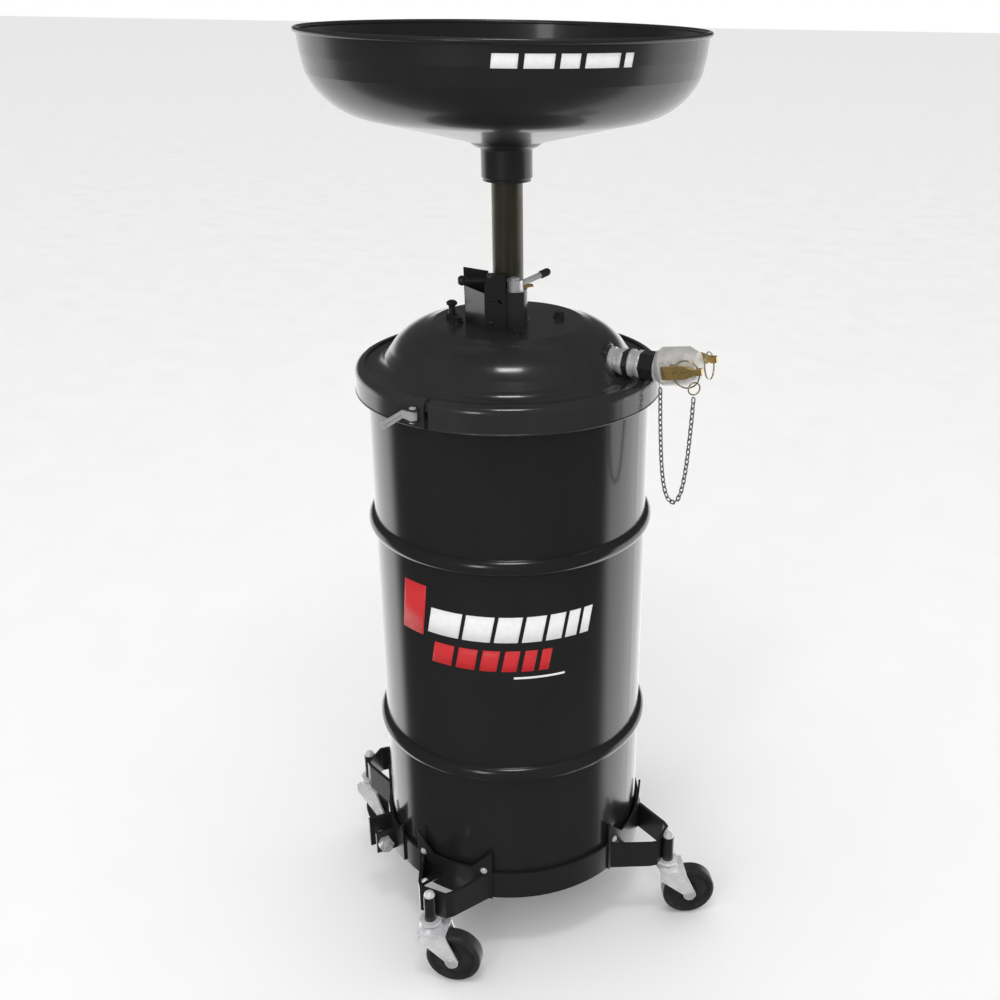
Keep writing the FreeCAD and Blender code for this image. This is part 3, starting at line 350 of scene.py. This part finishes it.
def oxide():
    """Black oxide on steel fittings."""
    m = Recipe("dark_steel")
    cloud = m.noise(90.0, 5)
    m.put("Base Color", m.blend(cloud, rgb(0.035, 0.035, 0.037), rgb(0.11, 0.108, 0.1)))
    m.put("Metallic", 0.8)
    m.put("Roughness", m.remap(cloud, 0.3, 0.7, 0.3, 0.5))
    return m.relief(m.noise(480.0, 2), 0.2, 0.0002, 0.0005).material


def print_ink(name, colour):
    """Screen-printed ink, slightly uneven."""
    m = Recipe(name)
    cloud = m.noise(140.0, 4)
    darker = rgb(colour[0] * 0.92, colour[1] * 0.92, colour[2] * 0.92)
    m.put("Base Color", m.blend(m.remap(cloud, 0.4, 0.75, 0, 1), rgb(*colour), darker))
    m.put("Roughness", m.remap(cloud, 0.3, 0.7, 0.3, 0.42))
    return m.relief(m.noise(420.0, 2), 0.05, 0.0002).material


def dress(material, *names):
    """Gives a material to CAD nodes."""
    for name in names:
        for thing in bpy.data.objects:
            if thing.get("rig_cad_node") == name or thing.name == name:
                if thing.type == "MESH":
                    thing.data.materials.clear()
                    thing.data.materials.append(material)


def dress_all():
    """Gives every CAD node its material."""
    dress(enamel("drum_enamel", 0.012, 0.18, 0.015), "drum_shell", "drum_bottom")
    dress(enamel("lid_enamel", 0.021, 0.2, 0.012), "drum_lid", "closing_ring", "mast_guide")
    dress(enamel("bowl_enamel", 0.013, 0.36, 0.02), "drain_bowl", "bowl_socket")
    dress(enamel("frame_enamel", 0.012, 0.3, 0.03), "dolly_ring", "caster_brackets", "caster_sockets",
          "band_lugs", "guard_bracket", "line_nut")
    plate = zinc("zinc_plate", 0.82, metal=0.55)
    dress(plate, "dolly_screws", "band_bolt", "latch_pin", "guide_nuts", "cam_pivot", "cam_lever",
          "pipe_nipple", "pipe_couplings", "cap_pins", "dip_tube", "bowl_screen", "chain_clip")
    dress(zinc("lever_grey", 0.5, 0.35, metal=0.4), "latch_lever")
    dress(zinc("ring_wire", 0.62, 0.25, (1, 1, 14), (1.0, 0.86, 0.62)), "pull_ring_front", "pull_ring_rear",
          "chain_ring")
    dress(zinc("chain_zinc", 0.5, 0.2, metal=0.85), "chain")
    dress(zinc("fork_zinc", 0.95, 0.26, (1, 1, 3), (1, 1, 1.01), 0.35), "caster_stems",
          *["caster_fork_" + c for c in CORNERS])
    dress(plate, *["caster_axle_" + c for c in CORNERS])
    dress(rubber("tread_rubber", 0.02, 0.42), *["caster_wheel_" + c for c in CORNERS])
    dress(rubber("seal_rubber"), "lid_gasket")
    dress(mast_steel(), "mast_tube")
    dress(cast_aluminium(), "dust_cap", "cam_adapter")
    dress(brass(), "cap_arm_front", "cap_arm_rear", "cam_shoe")
    dress(plastic(), "mast_bushing", "plunger_knob", "lever_grip", "vent_cap")
    dress(oxide(), "lock_plunger", "jam_nut", "dip_elbow", "guide_bolts", "guard_rivets", "vent_base")


def finished(mesh, name, body, material):
    """Turns a bmesh into a smooth piece that rides on a body."""
    for face in mesh.faces:
        face.smooth = True
    data = bpy.data.meshes.new(name)
    mesh.to_mesh(data)
    mesh.free()
    piece = bpy.data.objects.new(name, data)
    bpy.context.scene.collection.objects.link(piece)
    piece.data.materials.append(material)
    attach(piece, body)
    return piece


def wall_patch(name, radius, corners_list, body, material, taper=0.0):
    """Thin curved decal patches on a round wall; each patch is four (angle, height) corners in order."""
    thickness, rows = 0.25 * MM, 2
    mesh = bmesh.new()
    for corners in corners_list:
        low_left, low_right, high_right, high_left = corners
        steps = max(2, int(abs(low_right[0] - low_left[0]) / 1.0) + 1)
        grid = []
        for j in range(rows + 1):
            v = j / rows
            line = []
            for i in range(steps + 1):
                u = i / steps
                a0 = low_left[0] + (low_right[0] - low_left[0]) * u
                a1 = high_left[0] + (high_right[0] - high_left[0]) * u
                z0 = low_left[1] + (low_right[1] - low_left[1]) * u
                z1 = high_left[1] + (high_right[1] - high_left[1]) * u
                a, z = math.radians(a0 + (a1 - a0) * v), (z0 + (z1 - z0) * v) * MM
                r = radius * MM + thickness + taper * (z - BOWL_WALL_Z * MM)
                line.append(mesh.verts.new((r * math.cos(a), r * math.sin(a), z)))
            grid.append(line)
        for j in range(rows):
            for i in range(steps):
                mesh.faces.new((grid[j][i], grid[j][i + 1], grid[j + 1][i + 1], grid[j + 1][i]))
    solid = finished(mesh, name, body, material).modifiers.new("thickness", "SOLIDIFY")
    solid.thickness = thickness
    solid.offset = 0


def slanted(left, right, low, high, lean):
    """Corners of a leaning bar on the wall, in degrees and millimetres."""
    return ((left, low), (right, low), (right + lean, high), (left + lean, high))


def markings():
    """Plain slanted bars and stripes where the object carries printed marks."""
    red, white = print_ink("red_ink", (0.62, 0.02, 0.025)), print_ink("white_ink", (0.85, 0.85, 0.85))
    wall_patch("mark_red_block", DRUM_WALL_R, [slanted(-113, -101, 489, 561, 2.6)], "base", red)
    bars, left = [], -98.5
    for width in (14.0, 11.5, 9.5, 8.0, 6.5, 5.0, 4.0):
        bars.append(slanted(left, left + width, 497, 533, 2.2))
        left += width + 1.6
    wall_patch("mark_white_bars", DRUM_WALL_R, bars, "base", white)
    bars, left = [], -97.0
    for width in (9.0, 8.0, 7.0, 6.0, 5.0, 4.0):
        bars.append(slanted(left, left + width, 455, 485, 1.8))
        left += width + 2.0
    wall_patch("mark_red_bars", DRUM_WALL_R, bars, "base", red)
    wall_patch("mark_fine_line", DRUM_WALL_R, [slanted(-62, -41, 444, 447, 0)], "base", white)
    dashes = [slanted(a, a + w, 1176, 1190, 0.4) for a, w in
              ((-66, 6.5), (-58, 7.5), (-49, 5.0), (-42.5, 9.5), (-31.5, 2.5))]
    wall_patch("mark_bowl_dashes", BOWL_WALL_R, dashes, "mast", white, BOWL_WALL_TAPER)


def weld_bead(name, centre, axis, radius, width, body, material):
    """Rope of overlapping weld ripples round a joint, painted over with the metal beside it."""
    rough = random.Random(name)
    across = Vector((0, 0, 1)) if abs(axis.z) < 0.5 else Vector((1, 0, 0))
    across = (across - axis * across.dot(axis)).normalized()
    other = axis.cross(across)
    mesh = bmesh.new()
    steps, sides = max(96, int(radius / 0.00035)), 8
    ripples = round(2 * math.pi * radius / 0.0026)
    rings = []
    for i in range(steps):
        a = 2 * math.pi * i / steps
        outward = across * math.cos(a) + other * math.sin(a)
        size = width * (1 + 0.16 * abs(math.sin(a * ripples / 2)) + rough.uniform(-0.04, 0.04))
        ring = []
        for k in range(sides):
            b = 2 * math.pi * k / sides
            place = centre + outward * (radius + size * math.cos(b)) + axis * (size * math.sin(b))
            ring.append(mesh.verts.new(place))
        rings.append(ring)
    for i in range(steps):
        here, after = rings[i], rings[(i + 1) % steps]
        for k in range(sides):
            mesh.faces.new((here[k], here[(k + 1) % sides], after[(k + 1) % sides], after[k]))
    bmesh.ops.recalc_face_normals(mesh, faces=mesh.faces)
    finished(mesh, name, body, material)


def weld_beads():
    """Beads where round parts are welded on: the mast sleeve, the line's boss and the bowl's collar."""
    paint = enamel("weld_enamel", 0.018, 0.25, 0.02)
    up, along = Vector((0, 0, 1)), Vector((1, 0, 0))
    weld_bead("weld_guide", Vector((0, 0, LID_TOP_Z)) * MM, up, GUIDE_SLEEVE_R * MM, 1.4 * MM, "lid", paint)
    boss = Vector((LINE_BOSS_X, 0, LINE_Z)) * MM
    weld_bead("weld_line_boss", boss, along, LINE_BOSS_R * MM, 1.5 * MM, "lid", paint)
    socket_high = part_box("bowl_socket")[1]
    weld_bead("weld_bowl", Vector((0, 0, socket_high[2])), up, socket_high[0], 1.2 * MM, "mast", paint)


camera()
surroundings()
dress_all()
markings()
weld_beads()
